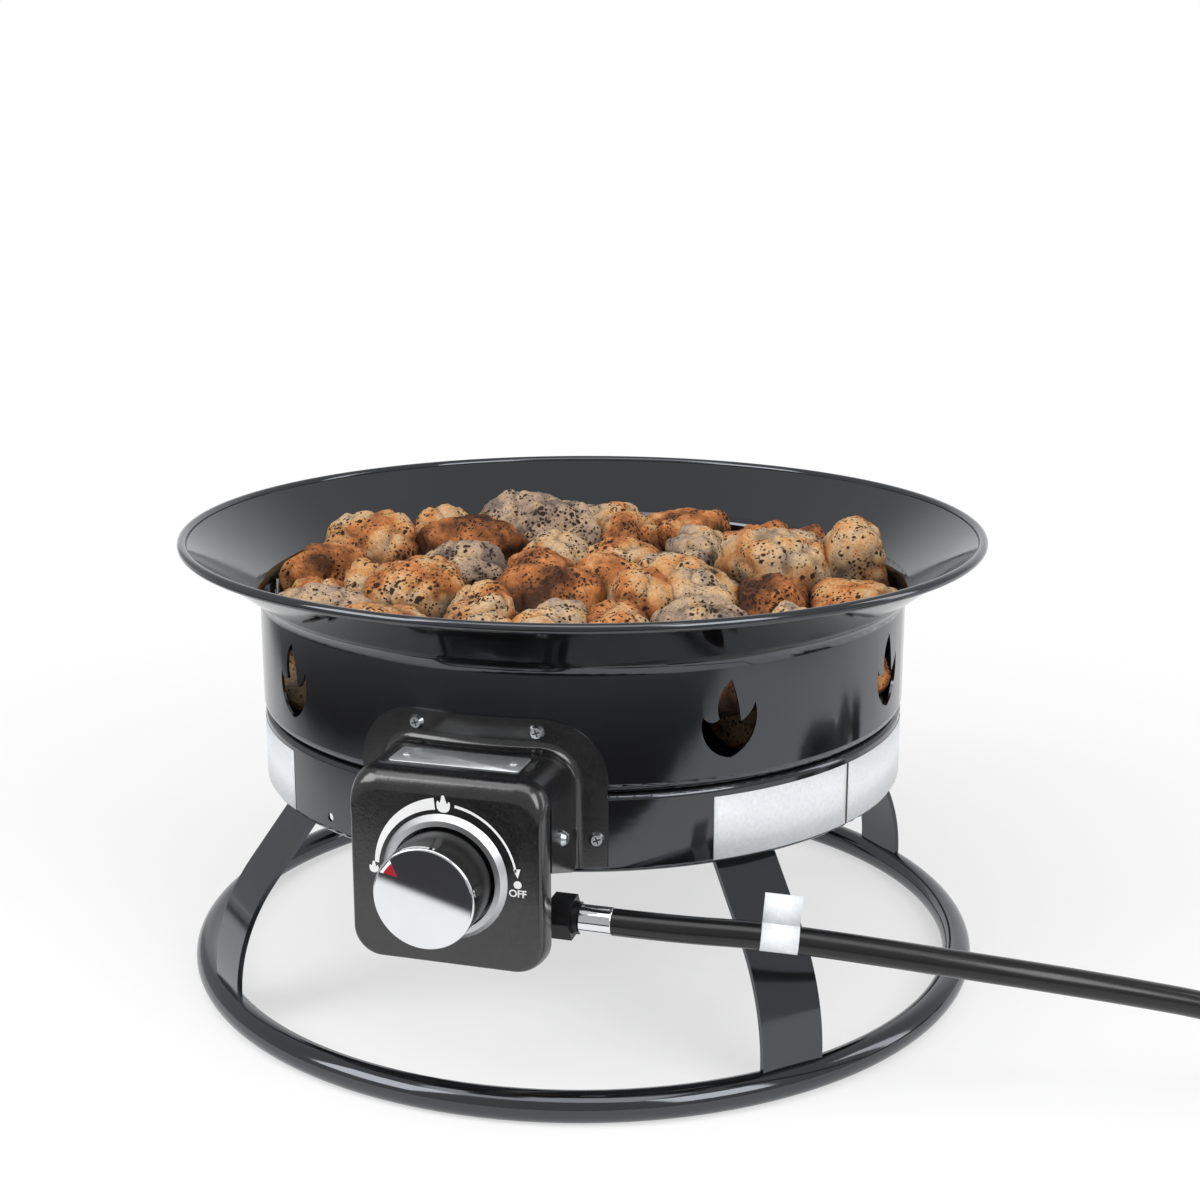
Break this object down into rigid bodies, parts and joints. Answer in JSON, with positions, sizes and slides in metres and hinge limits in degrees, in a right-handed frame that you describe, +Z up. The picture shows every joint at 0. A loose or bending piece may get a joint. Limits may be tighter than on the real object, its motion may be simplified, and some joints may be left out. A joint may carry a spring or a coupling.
{
  "type": "portable propane fire pit",
  "caption": "Round black gas fire bowl with a wide flared rim and flame cut-outs, on strap legs and a tube ring, with lava rocks, a control knob, hose and regulator.",
  "frame": {"origin": "on the bowl's axis, on the floor that the base ring stands on", "axes": "+Z up along the bowl's axis, -Y out of the control box towards the user, +X the way the hose leaves"},
  "size_m": [0.8912, 0.527, 0.2696],
  "materials": {
    "black_enamel": "gloss black enamel on pressed steel",
    "zinc_steel": "zinc plated steel",
    "burner_steel": "stainless steel tube, dulled",
    "satin_silver": "satin silver",
    "mirror_chrome": "mirror bright",
    "knob_black": "black moulded plastic",
    "pointer_red": "red with a white edge",
    "valve_aluminium": "die cast aluminium",
    "brass": "turned brass",
    "fitting_black": "black oxide steel",
    "hose_rubber": "smooth black gas hose",
    "tie_black": "black plastic strap",
    "regulator_grey": "die cast, grey lacquer",
    "lava_rock": "rough porous lava rock, tan to red brown"
  },
  "bodies": {
    "fire_pit": {"fire_bowl": "black_enamel", "base_skirt": "black_enamel", "base_ring": "black_enamel", "leg_1": "black_enamel", "leg_2": "black_enamel", "leg_3": "black_enamel", "leg_4": "black_enamel", "leg_studs": "zinc_steel", "leg_nuts": "zinc_steel", "mounting_hood": "black_enamel", "hood_screws": "zinc_steel", "control_housing": "black_enamel", "housing_screws": "zinc_steel", "knob_bezel": "satin_silver", "valve_bonnet": "valve_aluminium", "valve_body": "valve_aluminium", "valve_screws": "zinc_steel", "gas_jet": "brass", "mixer_tube": "zinc_steel", "burner_lock_nut": "zinc_steel", "burner_ring": "burner_steel", "inlet_elbow": "brass", "hose_fitting": "fitting_black", "hose_ferrule": "mirror_chrome", "gas_hose": "hose_rubber", "hose_coil": "hose_rubber", "hose_tie": "tie_black", "outlet_ferrule": "mirror_chrome", "regulator_body": "regulator_grey", "regulator_bonnet": "regulator_grey", "vent_cap": "knob_black", "inlet_nipple": "brass", "lava_rocks_left": "lava_rock", "lava_rocks_middle": "lava_rock", "lava_rocks_right": "lava_rock", "lava_rocks_lower": "lava_rock"},
    "plug": {"valve_plug": "brass", "valve_spring": "zinc_steel"},
    "knob": {"valve_spindle": "brass", "control_knob": "knob_black", "knob_cap": "mirror_chrome", "knob_pointer": "pointer_red"},
    "nut": {"coupling_nut": "knob_black"}
  },
  "joints": [
    {"name": "knob_turn", "type": "hinge", "parent": "fire_pit", "child": "plug", "pos_m": [0, -0.22, 0.136], "axis": [0, -1, 0], "range_deg": [-142, 38]},
    {"name": "knob_push", "type": "slide", "parent": "plug", "child": "knob", "axis": [0, 1, 0], "range_m": [0, 0.003], "stiffness_N_per_m": 1500, "springref_m": -0.003, "deforming": ["valve_spring"]},
    {"name": "nut_spin", "type": "hinge", "parent": "fire_pit", "child": "nut", "pos_m": [0.57888, 0.20442, 0.0246], "axis": [-0.382, 0.9242, 0], "continuous": true}
  ]
}
